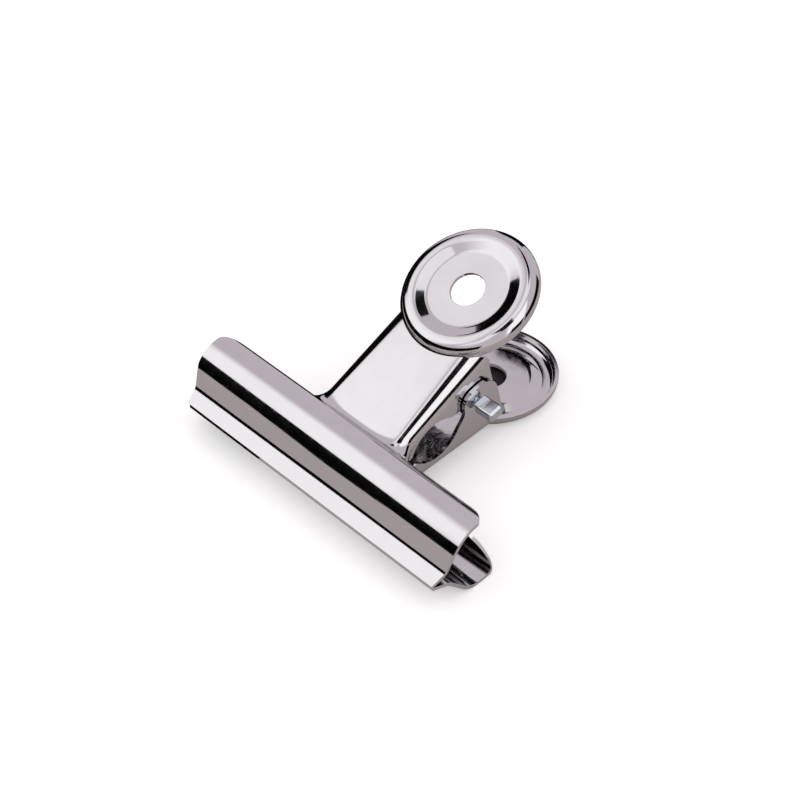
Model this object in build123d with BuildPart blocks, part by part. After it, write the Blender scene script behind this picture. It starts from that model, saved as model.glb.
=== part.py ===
from build123d import *
from math import asin, atan2, cos, degrees, hypot, pi, radians, sin, sqrt, tan
import os

# Bulldog clip: two pressed sheet-steel halves on one pin, held shut by a coiled spring.
# Lengths are millimetres and angles are degrees.
# The halves are drawn about the jaw plane: Y runs from the lips to the discs, Z is up out of
# the upper half and X lies along the pin. The clip is then laid down on its lower crown and
# its lower disc, with the origin under the middle of the whole clip.

# Sheet and fits
sheet = 0.55
side_gap = 0.2
running_clearance = 0.05
overrun = 4.0

# Jaw bar
crease_width = 51.0
lip_width = 50.0
crown_width = 52.1
jaw_reach = 25.66
lip_depth = 2.25
lip_slope = 22.0
lip_gap = 0.02
crown_height = 5.92
crown_radius = 5.1
crown_reach = 17.71
crown_fall = 18.0
back_radius = 2.0
bar_corner = 3.0
wall_foot = 2.5
wall_slant = 3.2

# Neck and cheeks
neck_half = 8.05
neck_slope = 12.95
fold_radius = 1.3
flare_radius = 2.0
root_height = 0.35
window_radius = 5.0
window_reach = 8.1
window_drop = 2.3
ear_front = 2.5
ear_back = 3.9
ear_tip = 2.5
ear_front_round = 2.2
ear_back_round = 2.9

# Disc
disc_reach = 9.0
disc_rise = 10.64
disc_radius = 10.25
disc_round = 1.4
disc_skirt = 2.0
disc_recess = 0.62
recess_flat = 6.1
recess_edge = 7.75
recess_round = 0.9
hole_radius = 2.6

# Pin
pin_height = 0.7
pin_radius = 0.75
pin_half = 12.5
crimp_start = 0.15
crimp_taper = 0.4
crimp_width = 2.4
crimp_thick = 1.8
crimp_round = 0.3
head_radius = 1.2
head_gap = 0.15
head_thick = 0.65

# Spring
wire = 1.0
coil_radius = 1.8
coil_pitch = 1.5
coil_turns = 5
leg_reach = 5.5
leg_gap = 0.1
points_per_turn = 4
checks_per_turn = 24

# Places worked out from the sizes above
lip_top = sheet * cos(radians(lip_slope)) + lip_gap / 2
crease_height = lip_top + lip_depth * tan(radians(lip_slope))
crown_centre = (-crown_reach, crown_height - crown_radius)
lip_edge = (-jaw_reach, lip_top)
crease = (lip_depth - jaw_reach, crease_height)
to_crown = (crown_centre[0] - crease[0], crown_centre[1] - crease[1])
flank_angle = degrees(atan2(to_crown[1], to_crown[0]) + asin(crown_radius / hypot(*to_crown)))
wall_reach = crown_reach - (crown_radius - back_radius) * sin(radians(crown_fall)) - back_radius
lower_neck_half = neck_half + side_gap + sheet
slope = radians(neck_slope)

# How the clip lies: the table touches the lower crown and the round of the lower disc
round_along = disc_radius - disc_round
rim_round = (
    disc_reach + round_along * cos(slope) + disc_round * sin(slope),
    disc_rise + round_along * sin(slope) - disc_round * cos(slope),
)
crown_to_rim = (rim_round[0] - crown_centre[0], rim_round[1] - crown_centre[1])
rest_tilt = degrees(
    atan2(crown_to_rim[1], crown_to_rim[0])
    - asin((crown_radius - disc_round) / hypot(*crown_to_rim))
)
tilt = radians(rest_tilt)
rest_height = crown_radius + crown_reach * sin(tilt) + crown_centre[1] * cos(tilt)
lip_front = jaw_reach * cos(tilt) + lip_top * sin(tilt)
skirt_end = (
    disc_reach + disc_radius * cos(slope) + disc_skirt * sin(slope),
    disc_rise + disc_radius * sin(slope) - disc_skirt * cos(slope),
)
rim_back = skirt_end[0] * cos(tilt) + skirt_end[1] * sin(tilt)
rest_shift = (lip_front - rim_back) / 2

jaw_plane = Plane(
    origin=(0, rest_shift, rest_height), x_dir=(1, 0, 0), z_dir=(0, -sin(tilt), cos(tilt))
)
section_plane = Plane(jaw_plane.origin, x_dir=jaw_plane.y_dir, z_dir=jaw_plane.x_dir)
disc_centre = section_plane.from_local_coords((disc_reach, disc_rise, 0))
disc_normal = jaw_plane.z_dir * cos(slope) - jaw_plane.y_dir * sin(slope)
disc_plane = Plane(disc_centre, x_dir=jaw_plane.x_dir, z_dir=disc_normal)
disc_section = Plane(disc_centre, x_dir=disc_plane.y_dir, z_dir=disc_plane.x_dir)
neck_top = disc_plane.offset(sheet - disc_skirt)
neck_under = disc_plane.offset(-disc_skirt)


def bar_strip():
    """Lip, flank, crown and back wall: one bent strip, with its ends trimmed from above."""
    flank_end = (
        crown_centre[0] - crown_radius * sin(radians(flank_angle)),
        crown_centre[1] + crown_radius * cos(radians(flank_angle)),
    )
    with BuildPart() as bar:
        with BuildSketch(section_plane):
            with BuildLine():
                Line(lip_edge, crease)
                Line(crease, flank_end)
                crown = CenterArc(
                    crown_centre, crown_radius, 90 + flank_angle, -(flank_angle + crown_fall)
                )
                bend = JernArc(crown @ 1, crown % 1, back_radius, crown_fall - 90)
                Line(bend @ 1, ((bend @ 1).X, root_height))
                offset(amount=sheet, side=Side.RIGHT)
            make_face()
        extrude(amount=crown_width / 2 + overrun, both=True)
        with BuildSketch(jaw_plane) as outline:
            Polygon(
                (lip_width / 2, -jaw_reach - overrun),
                (lip_width / 2, -jaw_reach),
                (crease_width / 2, crease[0]),
                (crown_width / 2, crease[0] + lip_depth),
                (crown_width / 2, -wall_reach),
                (-crown_width / 2, -wall_reach),
                (-crown_width / 2, crease[0] + lip_depth),
                (-crease_width / 2, crease[0]),
                (-lip_width / 2, -jaw_reach),
                (-lip_width / 2, -jaw_reach - overrun),
                align=None,
            )
            fillet(outline.vertices().group_by(Axis.Y)[-1], bar_corner)
        extrude(amount=disc_rise, mode=Mode.INTERSECT)
        root_half = neck_half + flare_radius + side_gap
        with BuildSketch(Plane(jaw_plane.origin, x_dir=jaw_plane.x_dir, z_dir=-jaw_plane.y_dir)):
            for side in (1, -1):
                Polygon(
                    (side * root_half, -overrun),
                    (side * root_half, root_height),
                    (side * (root_half + wall_slant), wall_foot),
                    (side * crown_width, wall_foot),
                    (side * crown_width, -overrun),
                    align=None,
                )
        extrude(amount=wall_reach + 2 * sheet, mode=Mode.SUBTRACT)
    return bar.part


def neck_block(cap_plane, half, front, back_edge, flare, fold):
    """A block as wide as the neck, flared at its root, cut off along the slope and folded."""
    base_half = half + flare + side_gap
    with BuildPart() as block:
        with BuildSketch(jaw_plane.offset(-disc_rise)) as plan:
            Polygon((half, front), (half, back_edge), (-half, back_edge), (-half, front), align=None)
            Polygon(
                (base_half, front - overrun),
                (base_half, front),
                (-base_half, front),
                (-base_half, front - overrun),
                align=None,
            )
            roots = [v for v in plan.vertices() if abs(v.Y - front) < sheet and abs(v.X) < half + sheet]
            fillet(roots, flare)
        extrude(amount=2 * disc_rise + overrun)
        split(bisect_by=cap_plane, keep=Keep.BOTTOM)
        top = block.faces().filter_by(cap_plane).sort_by(SortBy.AREA)[-1]
        sides = [e for e in top.edges() if half - sheet < abs((e @ 0.5).X) < base_half - side_gap]
        fillet(sides, fold)
    return block.part


def cheek_trim(pin_z):
    """What is kept of the neck's sides: a round window behind the bar and an ear round the pin."""
    ear_end = pin_z - ear_tip
    root = -wall_reach - sheet
    roof = disc_rise + overrun
    with BuildPart() as trim:
        with BuildSketch(section_plane) as cheek:
            Polygon(
                (root, root_height), (root, roof), (ear_back, roof), (ear_back, root_height), align=None
            )
            with Locations((-window_reach, -window_drop)):
                Circle(window_radius, mode=Mode.SUBTRACT)
        extrude(amount=crown_width, both=True)
        with BuildSketch(section_plane) as ear:
            Polygon(
                (-ear_front, ear_end),
                (-ear_front, pin_height + ear_tip),
                (ear_back, pin_height + ear_tip),
                (ear_back, ear_end),
                align=None,
            )
            tips = ear.vertices().group_by(Axis.Y)[0].sort_by(Axis.X)
            fillet(tips[0], ear_front_round)
            fillet(ear.vertices().group_by(Axis.Y)[0].sort_by(Axis.X)[-1], ear_back_round)
        extrude(amount=crown_width, both=True)
    return trim.part


def dished_disc():
    """The thumb disc: a holed flat, a sloped dish wall, a raised rim and a skirt turned down."""
    with BuildPart() as disc:
        with BuildSketch(disc_section):
            with BuildLine():
                FilletPolyline(
                    (hole_radius, -disc_recess),
                    (recess_flat, -disc_recess),
                    (recess_edge, 0),
                    (disc_radius, 0),
                    (disc_radius, -disc_skirt),
                    radius=[recess_round, recess_round, disc_round],
                )
                offset(amount=sheet, side=Side.RIGHT)
            make_face()
        revolve(axis=Axis(disc_plane.origin, disc_plane.z_dir))
    return disc.part


def pressed_half(half, pin_z, pin_hole):
    """One half of the clip, drawn as the upper one."""
    outer = neck_block(neck_top, half, -wall_reach, ear_back, flare_radius, fold_radius)
    inner = neck_block(
        neck_under,
        half - sheet,
        -wall_reach - sheet,
        ear_back + overrun,
        flare_radius + sheet,
        fold_radius - sheet,
    )
    with BuildPart() as neck:
        add(outer)
        add(cheek_trim(pin_z), mode=Mode.INTERSECT)
    with BuildPart() as pressed:
        add(bar_strip())
        add(neck.part)
        add(inner, mode=Mode.SUBTRACT)
        with BuildSketch(neck_under):
            Circle(disc_radius - sheet)
        extrude(amount=disc_skirt + overrun, mode=Mode.SUBTRACT)
        add(dished_disc())
        with BuildSketch(section_plane):
            with Locations((0, pin_z)):
                Circle(pin_hole)
        extrude(amount=crown_width, both=True, mode=Mode.SUBTRACT)
    return pressed.part


os.makedirs("parts", exist_ok=True)

with BuildPart() as upper_jaw:
    add(pressed_half(neck_half, pin_height, pin_radius + running_clearance))
upper_jaw.part.label = "upper_jaw"
export_step(upper_jaw.part, "parts/upper_jaw.step")

with BuildPart() as lower_jaw:
    add(pressed_half(lower_neck_half, -pin_height, pin_radius))
    mirror(about=jaw_plane, mode=Mode.REPLACE)
lower_jaw.part.label = "lower_jaw"
export_step(lower_jaw.part, "parts/lower_jaw.step")

# The pin: a round shank with a low round head on one side, squeezed flat at its other end
pin_centre = section_plane.from_local_coords((0, pin_height, 0))
pin_plane = Plane(pin_centre, x_dir=section_plane.x_dir, z_dir=section_plane.z_dir)
crimp_from = lower_neck_half + crimp_start
head_from = lower_neck_half + head_gap
with BuildPart() as pivot_pin:
    with BuildSketch(pin_plane.offset(-head_from)):
        Circle(pin_radius)
    extrude(amount=head_from + crimp_from)
    with BuildSketch(pin_plane.offset(-head_from)):
        Circle(head_radius)
    extrude(amount=-head_thick)
    with BuildSketch(pin_plane.offset(crimp_from)) as neck_ring:
        Circle(pin_radius)
    with BuildSketch(pin_plane.offset(crimp_from + crimp_taper)) as flat:
        RectangleRounded(crimp_width, crimp_thick, crimp_round)
    loft(sections=[neck_ring.sketch, flat.sketch], ruled=True)
    with BuildSketch(pin_plane.offset(crimp_from + crimp_taper)):
        RectangleRounded(crimp_width, crimp_thick, crimp_round)
    extrude(amount=pin_half - crimp_from - crimp_taper)
    chamfer(pivot_pin.faces().group_by(Axis.X)[0].edges(), crimp_round)
    chamfer(pivot_pin.faces().group_by(Axis.X)[-1].edges(), crimp_round)
pivot_pin.part.label = "pivot_pin"
export_step(pivot_pin.part, "parts/pivot_pin.step")


# The spring's legs run straight off the coil and end just under the flats of the two discs
leg_drop = (disc_recess + sheet + wire / 2 + leg_gap) / cos(slope)
leg_height = disc_rise + (leg_reach - disc_reach) * tan(slope) - leg_drop
leg_angles = []
leg_lengths = []
for rise in (leg_height - pin_height, leg_height + pin_height):
    far_end = hypot(leg_reach, rise)
    leg_angles.append(degrees(atan2(rise, leg_reach) - asin(coil_radius / far_end)))
    leg_lengths.append(sqrt(far_end**2 - coil_radius**2))
winding = coil_turns + (180 - sum(leg_angles)) / 360
coil_length = coil_pitch * winding


def coil_point(turn):
    """A point of the coil's centre line and the way the wire runs there."""
    around = radians(90 + leg_angles[0]) + 2 * pi * turn
    climb = coil_pitch / (2 * pi)
    along = coil_pitch * turn - coil_length / 2
    at = pin_plane.from_local_coords((coil_radius * cos(around), coil_radius * sin(around), along))
    run = (
        pin_plane.x_dir * (-coil_radius * sin(around))
        + pin_plane.y_dir * (coil_radius * cos(around))
        + pin_plane.z_dir * climb
    )
    return at, run.normalized()


# The spring: a coil round the pin, whose straight legs push the two halves apart at the discs
steps = round(winding * points_per_turn)
turns = [winding * step / steps for step in range(steps + 1)]
coil = [coil_point(turn) for turn in turns]
with BuildPart() as torsion_spring:
    with BuildLine() as route:
        start, start_run = coil[0]
        Line(start - start_run * leg_lengths[0], start)
        for (here, run), (there, next_run) in zip(coil, coil[1:]):
            reach = there - here
            spread = 2 * (1 - run.dot(next_run))
            lean = reach.dot(run + next_run)
            handle = (sqrt(lean**2 + spread * reach.dot(reach)) - lean) / spread
            joint = (here + run * handle + there - next_run * handle) / 2
            first = TangentArc(here, joint, tangent=run)
            TangentArc(joint, there, tangent=first % 1)
        end, end_run = coil[-1]
        Line(end, end + end_run * leg_lengths[1])
    with BuildSketch(Plane(start - start_run * leg_lengths[0], z_dir=start_run)):
        Circle(wire / 2)
    sweep(path=route.wires()[0])
torsion_spring.part.label = "torsion_spring"
export_step(torsion_spring.part, "parts/torsion_spring.step")

# The coil's least gap to itself, taken between points that are at least half a turn apart
sample_count = checks_per_turn * steps
samples = [coil_point(winding * n / sample_count)[0] for n in range(sample_count + 1)]
half_turn = round(sample_count / winding / 2)
least = min(
    (samples[far] - samples[near]).length
    for near in range(0, len(samples), points_per_turn)
    for far in range(near + half_turn, len(samples), points_per_turn)
)
wire_length = route.wires()[0].length
print("spring wire length", round(wire_length, 2), "volume", round(torsion_spring.part.volume, 3))
print("section times length", round(pi * (wire / 2) ** 2 * wire_length, 3))
print("least gap of the spring to itself", round(least - wire, 3))
print("rest tilt", round(rest_tilt, 3), "height", round(rest_height, 3), "shift", round(rest_shift, 3))
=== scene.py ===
from math import asin, atan2, cos, hypot, pi, radians, sin, sqrt, tan

import bmesh
import bpy
import numpy as np
from mathutils import Matrix, Vector


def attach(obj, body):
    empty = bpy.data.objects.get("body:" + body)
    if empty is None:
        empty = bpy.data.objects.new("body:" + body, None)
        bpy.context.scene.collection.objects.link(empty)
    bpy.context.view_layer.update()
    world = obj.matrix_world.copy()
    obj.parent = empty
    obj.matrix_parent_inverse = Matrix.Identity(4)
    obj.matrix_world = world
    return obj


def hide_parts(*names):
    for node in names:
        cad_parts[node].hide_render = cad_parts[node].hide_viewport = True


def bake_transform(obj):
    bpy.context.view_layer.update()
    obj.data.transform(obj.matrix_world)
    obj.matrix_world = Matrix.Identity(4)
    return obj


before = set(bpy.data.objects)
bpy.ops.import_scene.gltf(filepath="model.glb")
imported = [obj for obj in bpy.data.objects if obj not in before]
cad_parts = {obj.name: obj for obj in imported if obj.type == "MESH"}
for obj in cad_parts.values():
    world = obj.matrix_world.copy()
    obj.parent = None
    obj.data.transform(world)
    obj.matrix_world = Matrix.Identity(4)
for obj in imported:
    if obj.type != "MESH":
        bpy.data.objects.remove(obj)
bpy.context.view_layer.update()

# Sizes of the clip in millimetres, with slopes and turns in degrees, in the frame of its jaws:
# Y runs from the lips to the discs, Z is up out of the upper half and X lies along the pin
sheet = 0.55
crease_width, lip_width, crown_width = 51.0, 50.0, 52.1
jaw_reach, lip_depth, lip_slope, lip_gap = 25.66, 2.25, 22.0, 0.02
crown_height, crown_radius, crown_reach, crown_fall = 5.92, 5.1, 17.71, 18.0
back_radius, corner_reach, corner_depth = 2.0, 5.0, 2.2
foot_run, wall_foot, wall_slant = 1.5, 2.5, 3.2
neck_half, lower_neck_half, neck_slope = 8.05, 8.8, 12.95
fold_radius, fold_spread, heel, root_height = 1.7, 2.9, 0.3, 0.35
flare_radius, flare_run, flare_out, valley_radius, corner_run = 2.0, 3.4, 3.6, 0.9, 1.2
window_radius, window_reach, window_drop, window_overrun = 5.0, 8.1, 2.3, 14.0
ear_front, ear_back, ear_tip, ear_front_round, ear_back_round = 2.5, 3.9, 2.5, 2.2, 2.9
disc_reach, disc_rise, disc_radius, disc_round = 9.0, 10.64, 10.25, 1.4
disc_skirt, disc_recess, recess_flat, recess_edge, recess_round = 2.0, 0.62, 6.1, 7.75, 1.6
hole_radius, pin_height = 2.6, 0.7
wire, coil_radius, coil_pitch, coil_turns, leg_reach, leg_gap = 1.0, 1.8, 1.5, 5, 5.5, 0.1
crease_round, rim_round = 1.3, 1.8
edge_round, edge_angle = 0.06, 42
same_point = 0.002

slope = radians(neck_slope)
lip_top = sheet * cos(radians(lip_slope)) + lip_gap / 2
crease = (lip_depth - jaw_reach, lip_top + lip_depth * tan(radians(lip_slope)))
crown_centre = (-crown_reach, crown_height - crown_radius)
wall_reach = crown_reach - (crown_radius - back_radius) * sin(radians(crown_fall)) - back_radius

# How the clip lies: its lower crown and the round of its lower disc touch the floor
along_round = disc_radius - disc_round
lowest_round = (
    disc_reach + along_round * cos(slope) + disc_round * sin(slope),
    disc_rise + along_round * sin(slope) - disc_round * cos(slope),
)
to_rim = (lowest_round[0] - crown_centre[0], lowest_round[1] - crown_centre[1])
tilt = atan2(to_rim[1], to_rim[0]) - asin((crown_radius - disc_round) / hypot(*to_rim))
rest_height = crown_radius + crown_reach * sin(tilt) + crown_centre[1] * cos(tilt)
skirt_end = (
    disc_reach + disc_radius * cos(slope) + disc_skirt * sin(slope),
    disc_rise + disc_radius * sin(slope) - disc_skirt * cos(slope),
)
lip_front = jaw_reach * cos(tilt) + lip_top * sin(tilt)
rest_shift = (lip_front - skirt_end[0] * cos(tilt) - skirt_end[1] * sin(tilt)) / 2


def turned(vector):
    """A direction of the jaw frame, in the frame of the floor."""
    x, y, z = vector
    return Vector((x, y * cos(tilt) - z * sin(tilt), y * sin(tilt) + z * cos(tilt)))


def placed(point):
    """A point of the jaw frame in millimetres, in the frame of the floor in metres."""
    return (turned(point) + Vector((0, rest_shift, rest_height))) / 1000


def arc(centre, radius, first, last, count):
    """Points on a circle, both ends included. Angles are in degrees."""
    return [
        (centre[0] + radius * cos(radians(a)), centre[1] + radius * sin(radians(a)))
        for a in np.linspace(first, last, count + 1)
    ]


def rounded(corners, radii, step=6.0):
    """A path with rounded corners: its points, and at each the direction to its right."""
    path, rights = [], []
    for i, here in enumerate(corners):
        here = Vector(here)
        before = (here - Vector(corners[i - 1])).normalized() if i else None
        after = (Vector(corners[i + 1]) - here).normalized() if i + 1 < len(corners) else None
        if before is None or after is None:
            way = after or before
            path.append(here)
            rights.append(Vector((way.y, -way.x)))
            continue
        turn = atan2(before.x * after.y - before.y * after.x, before.dot(after))
        radius = radii[i - 1]
        start = here - before * radius * tan(abs(turn) / 2)
        side = 1 if turn > 0 else -1
        centre = start + Vector((-before.y, before.x)) * radius * side
        count = max(2, round(abs(np.degrees(turn)) / step))
        for n in range(count + 1):
            a = turn * n / count
            aside = Vector((-before.y, before.x))
            way = before * cos(a) + aside * sin(a)
            right = Vector((way.y, -way.x))
            path.append(centre + right * radius * side)
            rights.append(right)
    return path, rights


class Skin:
    """A sheet of faces in the jaw frame. Points that fall together become one point."""

    def __init__(self, flip):
        self.points, self.faces, self.flip = [], [], flip

    def face(self, corners):
        self.faces.append(range(len(self.points), len(self.points) + len(corners)))
        self.points += [tuple(p) for p in corners]

    def grid(self, rows):
        for a, b in zip(rows, rows[1:]):
            for i in range(len(a) - 1):
                self.face((a[i], a[i + 1], b[i + 1], b[i]))

    def mesh(self, name):
        """The sheet as a mesh in the frame of the floor, with its faces looking outwards."""
        data = bpy.data.meshes.new(name)
        sign = -1 if self.flip else 1
        data.from_pydata([placed((x, y, z * sign)) for x, y, z in self.points], [], self.faces)
        work = bmesh.new()
        work.from_mesh(data)
        bmesh.ops.remove_doubles(work, verts=work.verts, dist=same_point / 1000)
        bmesh.ops.triangulate(work, faces=[f for f in work.faces if len(f.verts) > 4])
        bmesh.ops.recalc_face_normals(work, faces=work.faces)
        top = placed((0, -window_reach, crown_height * sign))
        nearest = min(work.faces, key=lambda f: (f.calc_center_median() - top).length)
        if nearest.normal.z * sign < 0:
            bmesh.ops.reverse_faces(work, faces=work.faces)
        work.to_mesh(data)
        work.free()
        return data


def finished(name, mesh, material, thick=None):
    """An object with smooth faces, small rounds on its cut edges and its metal."""
    piece = bpy.data.objects.new(name, mesh)
    bpy.context.scene.collection.objects.link(piece)
    mesh.materials.append(material)
    mesh.polygons.foreach_set("use_smooth", [True] * len(mesh.polygons))
    if thick:
        wall = piece.modifiers.new("thickness", "SOLIDIFY")
        wall.thickness = thick / 1000
        wall.offset = -1
        wall.use_even_offset = True
        wall.use_quality_normals = True
    edge = piece.modifiers.new("edge", "BEVEL")
    edge.width = edge_round / 1000
    edge.segments = 2
    edge.limit_method = "ANGLE"
    edge.angle_limit = radians(edge_angle)
    edge.harden_normals = True
    return piece


def smoothed(share):
    """A share from 0 to 1, eased at both ends."""
    share = min(1.0, max(0.0, share))
    return share * share * (3 - 2 * share)


def bar_profile():
    """The outside of the jaw bar from its lip to where the neck's top leaves its back."""
    crown_steps, bend_steps = 44, 36
    to_crown = (crown_centre[0] - crease[0], crown_centre[1] - crease[1])
    flank = atan2(to_crown[1], to_crown[0]) + asin(crown_radius / hypot(*to_crown))
    flank_end = (
        crown_centre[0] - crown_radius * sin(flank),
        crown_centre[1] + crown_radius * cos(flank),
    )
    path, _ = rounded([(-jaw_reach, lip_top), crease, flank_end], [crease_round])
    path = [tuple(p) for p in path]
    bend_start = 90 - crown_fall
    path += arc(crown_centre, crown_radius, 90 + np.degrees(flank), bend_start, crown_steps)[1:]
    path += arc(bend_centre, back_radius, bend_start, np.degrees(root_turn), bend_steps)[1:]
    return path


def half_width(y):
    """How far the jaw bar reaches to each side at that depth."""
    if y < crease[0]:
        return (lip_width + (crease_width - lip_width) * (y + jaw_reach) / lip_depth) / 2
    if y < crease[0] + lip_depth:
        return (crease_width + (crown_width - crease_width) * (y - crease[0]) / lip_depth) / 2
    corner = max(0.0, y + wall_reach + corner_depth) / corner_depth
    return crown_width / 2 - corner_reach * (1 - sqrt(max(0.0, 1 - corner**2)))


def neck_top(y):
    return disc_rise + (y - disc_reach) * tan(slope) - (disc_skirt - sheet) / cos(slope)


def fold_at(y):
    """The radius of the neck's fold, which grows from the jaw bar to the disc."""
    return fold_radius + (fold_spread - fold_radius) * (y + wall_reach) / (ear_back + wall_reach)


# Where the neck's top runs into the back bend of the jaw bar, through a small valley
bend_turn = radians(90 - crown_fall)
bend_way = Vector((cos(bend_turn), sin(bend_turn)))
bend_centre = Vector(crown_centre) + bend_way * (crown_radius - back_radius)
neck_way, neck_out = Vector((cos(slope), sin(slope))), Vector((-sin(slope), cos(slope)))
valley_height = (Vector((0, neck_top(0))) - bend_centre).dot(neck_out) + valley_radius
valley_reach = sqrt((back_radius + valley_radius) ** 2 - valley_height**2)
valley_centre = bend_centre + neck_out * valley_height + neck_way * valley_reach
plate_start = (valley_centre - neck_out * valley_radius).x
valley_way = (valley_centre - bend_centre).normalized()
root_turn = atan2(valley_way.y, valley_way.x)
root_rise = bend_centre.y + back_radius * sin(root_turn) - neck_top(-wall_reach)


def bar_back(z):
    """How deep the back of the jaw bar lies at that height, and how it runs upwards there."""
    climb = min(1.0, max(0.0, (z - bend_centre.y) / back_radius))
    return bend_centre.x + back_radius * sqrt(1 - climb * climb), (-climb, sqrt(1 - climb * climb))


def flared(start, way_in, near, end, way_out, far, count):
    """A smooth run from the neck into the jaw bar, given from the bar's side."""
    start, end = Vector(start), Vector(end)
    first, second = start + Vector(way_in) * near, end - Vector(way_out) * far
    run = []
    for n in range(count + 1):
        r, t = n / count, 1 - n / count
        run.append(start * r**3 + first * 3 * r * r * t + second * 3 * r * t * t + end * t**3)
    return run


def cheek_outline(ear_end):
    """The lower edge of a cheek, from the jaw bar over the window and round the ear."""
    root_steps, window_steps, front_steps, front_arc_steps, back_arc_steps = 3, 34, 10, 10, 14
    start = flare_radius - wall_reach
    edge = sqrt(window_radius**2 - (root_height + window_drop) ** 2)
    sweep = np.degrees(atan2(root_height + window_drop, edge))
    leave = sweep + window_overrun
    line = [(y, root_height) for y in np.linspace(start, -window_reach - edge, root_steps + 1)]
    line += arc((-window_reach, -window_drop), window_radius, 180 - sweep, leave, window_steps)[1:]
    first = Vector(line[-1])
    way = Vector((sin(radians(leave)), -cos(radians(leave))))
    last = Vector((-ear_front, ear_end + ear_front_round))
    reach = (last - first).length
    for s in np.linspace(0, 1, front_steps + 1)[1:]:
        a, b = (1 + 2 * s) * (1 - s) ** 2, s * (1 - s) ** 2
        c, d = s * s * (3 - 2 * s), s * s * (s - 1)
        line.append(tuple(a * first + b * way * reach + c * last + d * Vector((0, -1)) * reach))
    front_centre = (ear_front_round - ear_front, ear_end + ear_front_round)
    back_centre = (ear_back - ear_back_round, ear_end + ear_back_round)
    line += arc(front_centre, ear_front_round, 180, 270, front_arc_steps)[1:]
    return line + arc(back_centre, ear_back_round, 270, 360, back_arc_steps)


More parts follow.
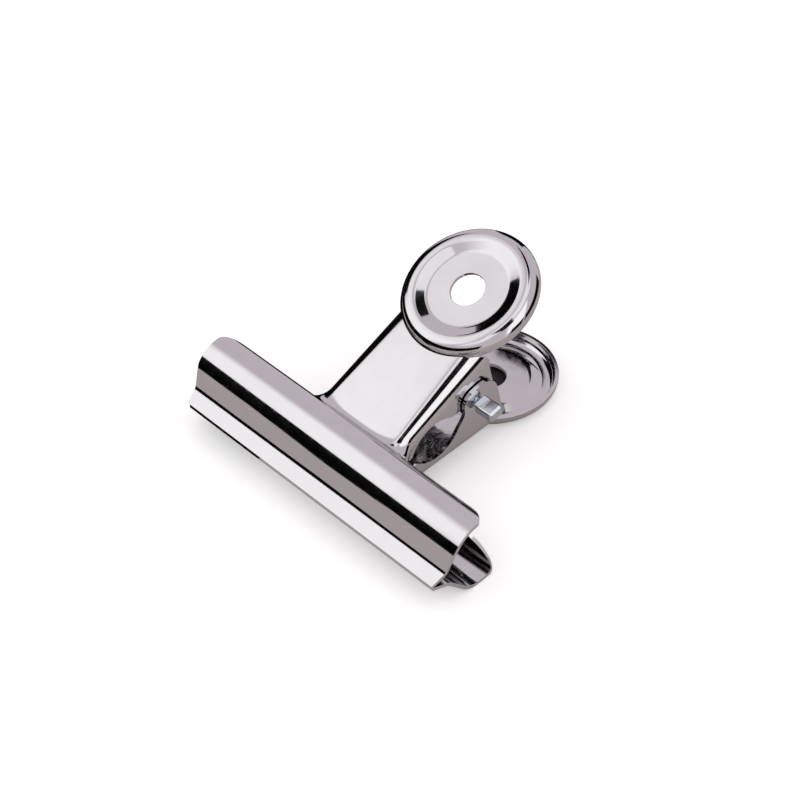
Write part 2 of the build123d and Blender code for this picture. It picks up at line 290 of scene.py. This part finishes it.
def pressed_sheet(name, half, ear_end, flip):
    """Bar, neck and cheeks of one half as one bent sheet."""
    cheek_rows, fold_rows, plate_rows, wing_columns, flare_steps, foot_steps = 12, 14, 8, 18, 9, 10
    round_share, lift_share, heel_share = 0.55, 0.3, 0.4
    depth_share, count_share = 0.55, 0.45
    skin = Skin(flip)
    plate_half = half - fold_radius
    inner = [plate_half * n / plate_rows for n in range(-plate_rows, plate_rows + 1)]

    def wing(x, y, z, side=1):
        """Points from that place out to the end of the jaw bar."""
        steps = range(wing_columns + 1)
        return [(side * (x + (half_width(y) - x) * n / wing_columns), y, z) for n in steps]

    skin.grid([
        wing(plate_half, y, z, -1)[:0:-1] + [(x, y, z) for x in inner] + wing(plate_half, y, z)[1:]
        for y, z in bar_profile()
    ])
    outline = cheek_outline(ear_end)
    steps = len(outline) - 1
    spread = [(y - outline[0][0]) / (outline[-1][0] - outline[0][0]) for y, _ in outline]
    spread = [depth_share * s + count_share * n / steps for n, s in enumerate(spread)]
    side_end = ear_back + heel
    rim = disc_radius - sheet / 2
    rim_y = disc_reach + (disc_skirt - sheet) * sin(slope)
    side_start = flare_run - wall_reach
    root_base = neck_top(-wall_reach)

    def plate_row(share):
        """A row of the neck's flat top: its place at a depth, its two ends, and its root."""
        y, rising = bar_back(root_base + root_rise)
        end = rim_y - cos(slope) * sqrt(rim**2 - (share * (half - fold_spread)) ** 2)
        root = (share * plate_half, y, root_base + root_rise)
        corner = corner_run * share**4

        def place(y):
            return share * (half - fold_at(y)), y, neck_top(y)

        start, run = plate_start + corner, valley_radius + corner
        return place, start, end, root, (0, *rising), run, valley_radius

    def fold_row(turn):
        """A row of the neck's fold, at that angle from the top."""
        share = smoothed(turn / (pi / 2))
        run = valley_radius + corner_run + (flare_run - valley_radius - corner_run) * share
        out = valley_radius + (flare_out - valley_radius) * share
        start = plate_start + corner_run + (side_start - plate_start - corner_run) * share
        end = plate_row(1)[2] + (side_end - plate_row(1)[2]) * share
        z = root_base - fold_radius * (1 - cos(turn))
        z += cos(turn) * (root_rise + lift_share * (out - valley_radius))
        y, rising = bar_back(z)
        root = (half - fold_radius * (1 - sin(turn)) + out * sin(turn), y, z)
        way_out = (sin(turn), cos(turn) * rising[0], cos(turn) * rising[1])

        def place(y):
            fold = fold_at(y)
            return half - fold * (1 - sin(turn)), y, neck_top(y) - fold * (1 - cos(turn))

        return place, start, end, root, way_out, run, out

    rows = [plate_row(n / plate_rows) for n in range(plate_rows + 1)]
    rows += [fold_row(pi / 2 * n / fold_rows) for n in range(1, fold_rows + 1)]
    mains = [[place(start + (end - start) * s) for s in spread] for place, start, end, *_ in rows]
    plate_way = (0, -cos(slope), -sin(slope))
    flares = []
    for main, (_, _, _, root, way_out, run, out) in zip(mains, rows):
        near, far = run * round_share, out * round_share
        flares.append(flared(main[0], plate_way, near, root, way_out, far, flare_steps))
    top_line = [(p[1], p[2]) for p in mains[-1]]
    root_top = flares[-1][0].z
    cheek = [mains[-1]]
    for n in range(1, cheek_rows + 1):
        v = n / cheek_rows
        row = []
        for i, (t, b) in enumerate(zip(top_line, outline)):
            u = i / steps
            left = [top_line[0][k] + (outline[0][k] - top_line[0][k]) * v for k in (0, 1)]
            rear = ear_back + (side_end - ear_back) * max(0.0, 1 - v / heel_share) ** 2
            right = [rear, top_line[-1][1] + (outline[-1][1] - top_line[-1][1]) * v]
            point = []
            for k in (0, 1):
                corners = (1 - u) * ((1 - v) * top_line[0][k] + v * outline[0][k])
                corners += u * ((1 - v) * top_line[-1][k] + v * outline[-1][k])
                point.append((1 - v) * t[k] + v * b[k] + (1 - u) * left[k] + u * right[k] - corners)
            row.append((half, point[0], point[1]))
        cheek.append(row)
        run = row[0][1] + wall_reach
        out = flare_out + (flare_radius - flare_out) * v
        root = (half + out, -wall_reach, root_top + (root_height - root_top) * v)
        way_in = Vector((0, -1, -tan(slope) * (1 - v))).normalized()
        near, far = run * round_share, out * round_share
        flares.append(flared(row[0], way_in, near, root, (1, 0, 0), far, flare_steps))
    below = next(n for n, flare in enumerate(flares) if flare[0].z <= bend_centre.y)
    wings = [wing(*flare[0]) for flare in flares[plate_rows:below + 1]]
    # The flat back wall of the bar: along its bend, round its foot and up the neck's flare
    loop = list(wings[-1])
    start = Vector(loop[-1])
    corner_slope = corner_reach * sqrt(2 / (corner_depth * back_radius))
    middle = Vector((start.x - (start.z - wall_foot) * corner_slope, start.y, wall_foot))
    end = middle - Vector((foot_run, 0, 0))
    for n in range(1, foot_steps + 1):
        t = n / foot_steps
        loop.append(tuple(start * (1 - t) ** 2 + middle * 2 * t * (1 - t) + end * t * t))
    loop.append((half + flare_radius + wall_slant, -wall_reach, wall_foot))
    loop += [flare[0] for flare in flares[:below:-1]]
    for side in (1, -1):
        for rows in (flares, mains, cheek, wings):
            skin.grid([[(side * x, y, z) for x, y, z in row] for row in rows])
        skin.face([(side * x, y, z) for x, y, z in loop])
    return skin.mesh(name)


def disc_mesh(name, flip):
    """The dished thumb disc, turned about its own axis."""
    corners = [
        (hole_radius, -disc_recess),
        (recess_flat, -disc_recess),
        (recess_edge, 0),
        (disc_radius, 0),
        (disc_radius, -disc_skirt - edge_round / 2),
    ]
    count, turn_step = 192, 4.0
    path, rights = rounded(corners, [recess_round, recess_round, rim_round], turn_step)
    under = [p + r * sheet for p, r in zip(path, rights)]
    ring = path + under[::-1]
    sign = -1 if flip else 1
    points, faces = [], []
    for n in range(count):
        a = 2 * pi * n / count
        for p in ring:
            out, up = p
            y = disc_reach + out * sin(a) * cos(slope) - up * sin(slope)
            z = disc_rise + out * sin(a) * sin(slope) + up * cos(slope)
            points.append(placed((out * cos(a), y, z * sign)))
    size = len(ring)
    for n in range(count):
        for i in range(size):
            a, b = n * size + i, n * size + (i + 1) % size
            c, d = (n + 1) % count * size + (i + 1) % size, (n + 1) % count * size + i
            faces.append((a, b, c, d))
    data = bpy.data.meshes.new(name)
    data.from_pydata(points, [], faces)
    work = bmesh.new()
    work.from_mesh(data)
    bmesh.ops.recalc_face_normals(work, faces=work.faces)
    work.to_mesh(data)
    work.free()
    return data


def spring_mesh(name):
    """A round wire: a straight leg, the coil about the pin, and the other straight leg."""
    leg_steps, coil_steps, sides = 12, 300, 20
    leg_drop = (disc_recess + sheet + wire / 2 + leg_gap) / cos(slope)
    leg_height = disc_rise + (leg_reach - disc_reach) * tan(slope) - leg_drop
    angles, lengths = [], []
    for rise in (leg_height - pin_height, leg_height + pin_height):
        far_end = hypot(leg_reach, rise)
        angles.append(atan2(rise, leg_reach) - asin(coil_radius / far_end))
        lengths.append(sqrt(far_end**2 - coil_radius**2))
    winding = coil_turns + (pi - sum(angles)) / (2 * pi)

    def coil(turn):
        a = pi / 2 + angles[0] + 2 * pi * turn
        x = coil_pitch * turn - coil_pitch * winding / 2
        at = Vector((x, coil_radius * cos(a), pin_height + coil_radius * sin(a)))
        run = Vector((coil_pitch / (2 * pi), -coil_radius * sin(a), coil_radius * cos(a)))
        return at, run.normalized()

    first, first_run = coil(0)
    last, last_run = coil(winding)
    along = np.linspace(0, 1, leg_steps + 1)
    route = [first - first_run * lengths[0] * (1 - s) for s in along[:-1]]
    route += [coil(winding * n / coil_steps)[0] for n in range(coil_steps + 1)]
    route += [last + last_run * lengths[1] * s for s in along[1:]]
    points, faces = [], []
    across = Vector((0, 0, 1))
    for i, here in enumerate(route):
        run = (route[min(i + 1, len(route) - 1)] - route[max(i - 1, 0)]).normalized()
        across = (across - run * across.dot(run)).normalized()
        other = run.cross(across)
        for n in range(sides):
            a = 2 * pi * n / sides
            points.append(placed(here + (across * cos(a) + other * sin(a)) * wire / 2))
    for i in range(len(route) - 1):
        for n in range(sides):
            a, b = i * sides + n, i * sides + (n + 1) % sides
            faces.append((a, b, b + sides, a + sides))
    faces.append(tuple(range(sides))[::-1])
    faces.append(tuple((len(route) - 1) * sides + n for n in range(sides)))
    data = bpy.data.meshes.new(name)
    data.from_pydata(points, [], faces)
    return data


def metal(name, tint, shift, smooth, rough, grain, dent):
    """Bright plated metal: a slightly uneven colour and polish, a fine grain and soft waves."""
    patch_scale, wear_scale, grain_scale, wave_scale = 320.0, 900.0, 9000.0, 160.0
    patch_range, wear_range = (0.35, 0.65), (0.3, 0.7)
    wave_depth, grain_depth = 0.0002, 0.00001
    material = bpy.data.materials.new(name)
    material.use_nodes = True
    nodes, links = material.node_tree.nodes, material.node_tree.links
    shader = nodes["Principled BSDF"]
    shader.inputs["Metallic"].default_value = 1.0
    where = nodes.new("ShaderNodeTexCoord")

    def noise(scale, detail):
        node = nodes.new("ShaderNodeTexNoise")
        node.inputs["Scale"].default_value = scale
        node.inputs["Detail"].default_value = detail
        links.new(where.outputs["Object"], node.inputs["Vector"])
        return node

    patches = noise(patch_scale, detail=3.0)
    colour = nodes.new("ShaderNodeValToRGB")
    for stop, position, strength in zip(colour.color_ramp.elements, patch_range, (shift, 1)):
        stop.position = position
        stop.color = (*[c * strength for c in tint], 1)
    links.new(patches.outputs["Fac"], colour.inputs["Fac"])
    links.new(colour.outputs["Color"], shader.inputs["Base Color"])
    wear = noise(wear_scale, detail=5.0)
    polish = nodes.new("ShaderNodeMapRange")
    limits = (*wear_range, smooth, rough)
    for socket, value in zip(("From Min", "From Max", "To Min", "To Max"), limits):
        polish.inputs[socket].default_value = value
    links.new(wear.outputs["Fac"], polish.inputs["Value"])
    links.new(polish.outputs["Result"], shader.inputs["Roughness"])
    fine = noise(grain_scale, detail=2.0)
    wide = noise(wave_scale, detail=1.0)

    def bump(height, strength, depth):
        node = nodes.new("ShaderNodeBump")
        node.inputs["Strength"].default_value = strength
        node.inputs["Distance"].default_value = depth
        links.new(height.outputs["Fac"], node.inputs["Height"])
        return node

    waves, grains = bump(wide, dent, wave_depth), bump(fine, grain, grain_depth)
    links.new(waves.outputs["Normal"], grains.inputs["Normal"])
    links.new(grains.outputs["Normal"], shader.inputs["Normal"])
    return material


plate = metal(
    "nickel_plate", (0.63, 0.615, 0.63), shift=0.97, smooth=0.05, rough=0.11, grain=0.05, dent=0.05
)
pin_metal = metal(
    "pin_wire", (0.6, 0.64, 0.7), shift=0.9, smooth=0.04, rough=0.1, grain=0.05, dent=0.5
)
spring_metal = metal(
    "spring_wire", (0.6, 0.59, 0.59), shift=0.92, smooth=0.14, rough=0.26, grain=0.15, dent=0.1
)

halves = (
    ("upper", neck_half, pin_height - ear_tip, False, "upper_half", "upper_jaw"),
    ("lower", lower_neck_half, -pin_height - ear_tip, True, "lower_half", "lower_jaw"),
)
for word, half, ear_end, flip, body, node in halves:
    bent = finished(word + "_bar_and_neck", pressed_sheet(word, half, ear_end, flip), plate, sheet)
    disc = finished(word + "_disc", disc_mesh(word + "_disc", flip), plate)
    for piece in (bent, disc):
        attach(piece, body)
        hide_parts(node)

spring = finished("spring_coil", spring_mesh("spring_coil"), spring_metal)
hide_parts("torsion_spring")
pin_level = placed((0, 0, pin_height))
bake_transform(spring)

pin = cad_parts["pivot_pin"]
pin.data.materials.clear()
pin.data.materials.append(pin_metal)


def plain(name, colour):
    """A matt studio surface."""
    material = bpy.data.materials.new(name)
    material.use_nodes = True
    shader = material.node_tree.nodes["Principled BSDF"]
    shader.inputs["Base Color"].default_value = (*colour, 1)
    shader.inputs["Roughness"].default_value = 0.9
    shader.inputs["Specular IOR Level"].default_value = 0.0
    return material


clip_middle = Vector((0, 0, 0.012))


def facing(direction, distance):
    """Where a panel stands that looks back at the clip, as a placement."""
    way = Vector(direction).normalized()
    turn = way.to_track_quat("Z", "Y")
    return Matrix.Translation(clip_middle + way * distance) @ turn.to_matrix().to_4x4()


def card(name, corners, material, lights=False):
    """A flat card of the studio, which the camera doesn't see but the metal reflects."""
    data = bpy.data.meshes.new(name)
    data.from_pydata(corners, [], [tuple(range(len(corners)))])
    piece = bpy.data.objects.new(name, data)
    bpy.context.scene.collection.objects.link(piece)
    data.materials.append(material)
    piece.visible_camera = False
    for kind in ("visible_diffuse", "visible_shadow", "visible_transmission"):
        setattr(piece, kind, lights)
    return piece


def upright_card(name, first, second, height, material):
    """A card that stands on the floor between two places."""
    low = [(*first, 0), (*second, 0)]
    return card(name, low + [(x, y, height) for x, y, _ in low[::-1]], material)


def level_card(name, outline, height, material):
    """A card that lies level at that height."""
    return card(name, [(x, y, height) for x, y in outline], material)


def lamp(name, direction, distance, width, height, level, fade):
    """A soft panel that glows as level in its middle and as the room at its edges."""
    material = bpy.data.materials.new(name)
    material.use_nodes = True
    nodes, links = material.node_tree.nodes, material.node_tree.links
    nodes.clear()
    where = nodes.new("ShaderNodeTexCoord")
    apart = nodes.new("ShaderNodeSeparateXYZ")
    links.new(where.outputs["Generated"], apart.inputs["Vector"])

    def worked(operation, first, second):
        node = nodes.new("ShaderNodeMath")
        node.operation = operation
        for socket, value in zip(node.inputs, (first, second)):
            if isinstance(value, float):
                socket.default_value = value
            else:
                links.new(value, socket)
        return node.outputs["Value"]

    parts = []
    for axis in ("X", "Y"):
        along = apart.outputs[axis]
        ease = nodes.new("ShaderNodeMapRange")
        ease.interpolation_type = "SMOOTHSTEP"
        ease.inputs["From Max"].default_value = fade
        links.new(worked("MINIMUM", along, worked("SUBTRACT", 1.0, along)), ease.inputs["Value"])
        parts.append(ease.outputs["Result"])
    share = worked("MULTIPLY", *parts)
    mixed = nodes.new("ShaderNodeMix")
    mixed.data_type = "RGBA"
    links.new(share, mixed.inputs["Factor"])
    mixed.inputs["A"].default_value = (*[c * room_level for c in room_tint], 1)
    mixed.inputs["B"].default_value = (level, level, level, 1)
    glow = nodes.new("ShaderNodeEmission")
    links.new(mixed.outputs["Result"], glow.inputs["Color"])
    end = nodes.new("ShaderNodeOutputMaterial")
    links.new(glow.outputs["Emission"], end.inputs["Surface"])
    x, y = width / 2, height / 2
    piece = card(name, [(-x, -y, 0), (x, -y, 0), (x, y, 0), (-x, y, 0)], material, True)
    piece.matrix_world = facing(direction, distance)
    return piece


room_tint, room_level = (1.0, 0.93, 0.985), 0.74
world = bpy.data.worlds.new("studio")
bpy.context.scene.world = world
world.use_nodes = True
world.node_tree.nodes["Background"].inputs["Color"].default_value = (*room_tint, 1)
world.node_tree.nodes["Background"].inputs["Strength"].default_value = room_level

# A white floor that keeps the clip's shadow, and glows a little where it is seen or mirrored
floor_reach, floor_glow = 4, 0.34
floor_material = plain("floor_white", (0.86, 0.86, 0.86))
tree = floor_material.node_tree
light_path = tree.nodes.new("ShaderNodeLightPath")
seen = light_path.outputs["Is Camera Ray"]
for ray in ("Is Glossy Ray", "Is Transmission Ray"):
    either = tree.nodes.new("ShaderNodeMath")
    either.operation = "MAXIMUM"
    tree.links.new(seen, either.inputs[0])
    tree.links.new(light_path.outputs[ray], either.inputs[1])
    seen = either.outputs["Value"]
lift = tree.nodes.new("ShaderNodeMath")
lift.operation = "MULTIPLY"
lift.inputs[1].default_value = floor_glow
tree.links.new(seen, lift.inputs[0])
shader = tree.nodes["Principled BSDF"]
shader.inputs["Emission Color"].default_value = (1, 1, 1, 1)
tree.links.new(lift.outputs["Value"], shader.inputs["Emission Strength"])
floor_data = bpy.data.meshes.new("floor")
square = ((-1, -1), (1, -1), (1, 1), (-1, 1))
floor_corners = [(x * floor_reach, y * floor_reach, 0) for x, y in square]
floor_data.from_pydata(floor_corners, [], [(0, 1, 2, 3)])
floor = bpy.data.objects.new("floor", floor_data)
bpy.context.scene.collection.objects.link(floor)
floor_data.materials.append(floor_material)

lamp(
    "lamp_left", (-0.56, -0.46, 0.69),
    distance=0.6, width=0.62, height=0.6, level=1.35, fade=0.3,
)
lamp(
    "lamp_right", (0.8, 0.0, 0.6),
    distance=0.55, width=0.36, height=0.7, level=1.45, fade=0.12,
)
lamp(
    "lamp_over", (0.05, -0.3, 1.0),
    distance=0.7, width=0.5, height=1.3, level=1.2, fade=0.25,
)

# Black cards stand in front, on both sides and behind: most are low, the one on the left is
# tall, and the one close behind the clip is small
black = plain("black_card", (0.003, 0.003, 0.003))
for name, first, second, height in (
    ("card_front", (-0.32, -0.03), (-0.02, -0.25), 0.115),
    ("card_front_right", (-0.02, -0.25), (0.25, -0.3), 0.115),
    ("card_left", (-0.21, 0.08), (-0.235, -0.06), 0.22),
    ("card_back", (-0.05, 0.07), (-0.02, 0.075), 0.058),
    ("card_right", (0.3, -0.03), (0.3, 0.1), 0.115),
    ("card_back_right", (0.06, 0.25), (0.3, 0.12), 0.12),
):
    upright_card(name, first, second, height, black)

# Two more hang level, one low over the right of the jaw bar and one high behind on the left
over_fold, over_disc = 0.1, 0.6
level_card(
    "card_over_fold",
    [(0.008, -0.034), (0.062, -0.034), (0.062, -0.008), (0.008, -0.008)], over_fold, black,
)
level_card(
    "card_over_disc",
    [(-0.03, 0.085), (-0.03, 0.26), (-0.34, 0.4), (-0.22, 0.17)], over_disc, black,
)

# On the floor lie a grey card under the clip and two black ones, on its left and in front, each
# a little higher than the one before
grey = plain("grey_card", (0.58, 0.55, 0.52))
grey_reach, grey_lift, left_lift, front_lift = 0.45, 0.0002, 0.0004, 0.0005
level_card("card_low", [(x * grey_reach, y * grey_reach) for x, y in square], grey_lift, grey)
level_card(
    "card_ground", [(-0.2, -0.03), (-0.014, -0.03), (-0.014, 0.08), (-0.2, 0.08)], left_lift, black
)
front_outline = [
    (-0.132, -0.18), (-0.058, -0.096), (-0.03, -0.066),
    (-0.034, -0.096), (-0.084, -0.18), (-0.12, -0.21),
]
level_card("card_floor", front_outline, front_lift, black)

# A dark card lies on the floor under the lower hole, and the camera sees it through the hole:
# painted shade for the floor there, which lies in deep shade
shade = plain("painted_hole_shade", (0.06, 0.048, 0.056))
shade_radius, shade_lift, shade_sides = 0.006, 0.0001, 32
hole_y = placed((0, disc_reach, -disc_rise)).y
turns = np.linspace(0, 2 * pi, shade_sides + 1)[:-1]
shade_rim = [(shade_radius * cos(a), hole_y + shade_radius * sin(a)) for a in turns]
level_card("painted_shade_under_hole", shade_rim, shade_lift, shade).visible_camera = True

# The camera of the photograph: turned about the clip, raised above it and rolled
camera_azimuth, camera_height, camera_roll = radians(58.205), radians(50.507), radians(-16.546)
camera_distance, pixels_per_mm = 280.78, 7.048
middle_x, middle_y, frame_size = 445.654, 364.66, 800
aim_reach = 2.357
camera_back = Vector((
    sin(camera_azimuth) * cos(camera_height),
    -cos(camera_azimuth) * cos(camera_height),
    sin(camera_height),
))
sideways = Vector((0, 0, 1)).cross(camera_back).normalized()
upwards = camera_back.cross(sideways)
camera_right = sideways * cos(camera_roll) + upwards * sin(camera_roll)
camera_up = upwards * cos(camera_roll) - sideways * sin(camera_roll)
focal = pixels_per_mm * camera_distance
stand = camera_back * camera_distance
stand -= camera_right * (middle_x - frame_size / 2) / focal * camera_distance
stand += camera_up * (middle_y - frame_size / 2) / focal * camera_distance
stand += Vector((0, aim_reach, 0))
lens = bpy.data.cameras.new("camera")
lens.sensor_width = 36
lens.lens = focal / frame_size * lens.sensor_width
lens.clip_start = 0.01
camera = bpy.data.objects.new("camera", lens)
bpy.context.scene.collection.objects.link(camera)
axes = Matrix([turned(way) for way in (camera_right, camera_up, camera_back)]).transposed()
camera.matrix_world = Matrix.Translation(placed(stand)) @ axes.to_4x4()
bpy.context.scene.camera = camera
bpy.context.scene.view_settings.view_transform = "Standard"
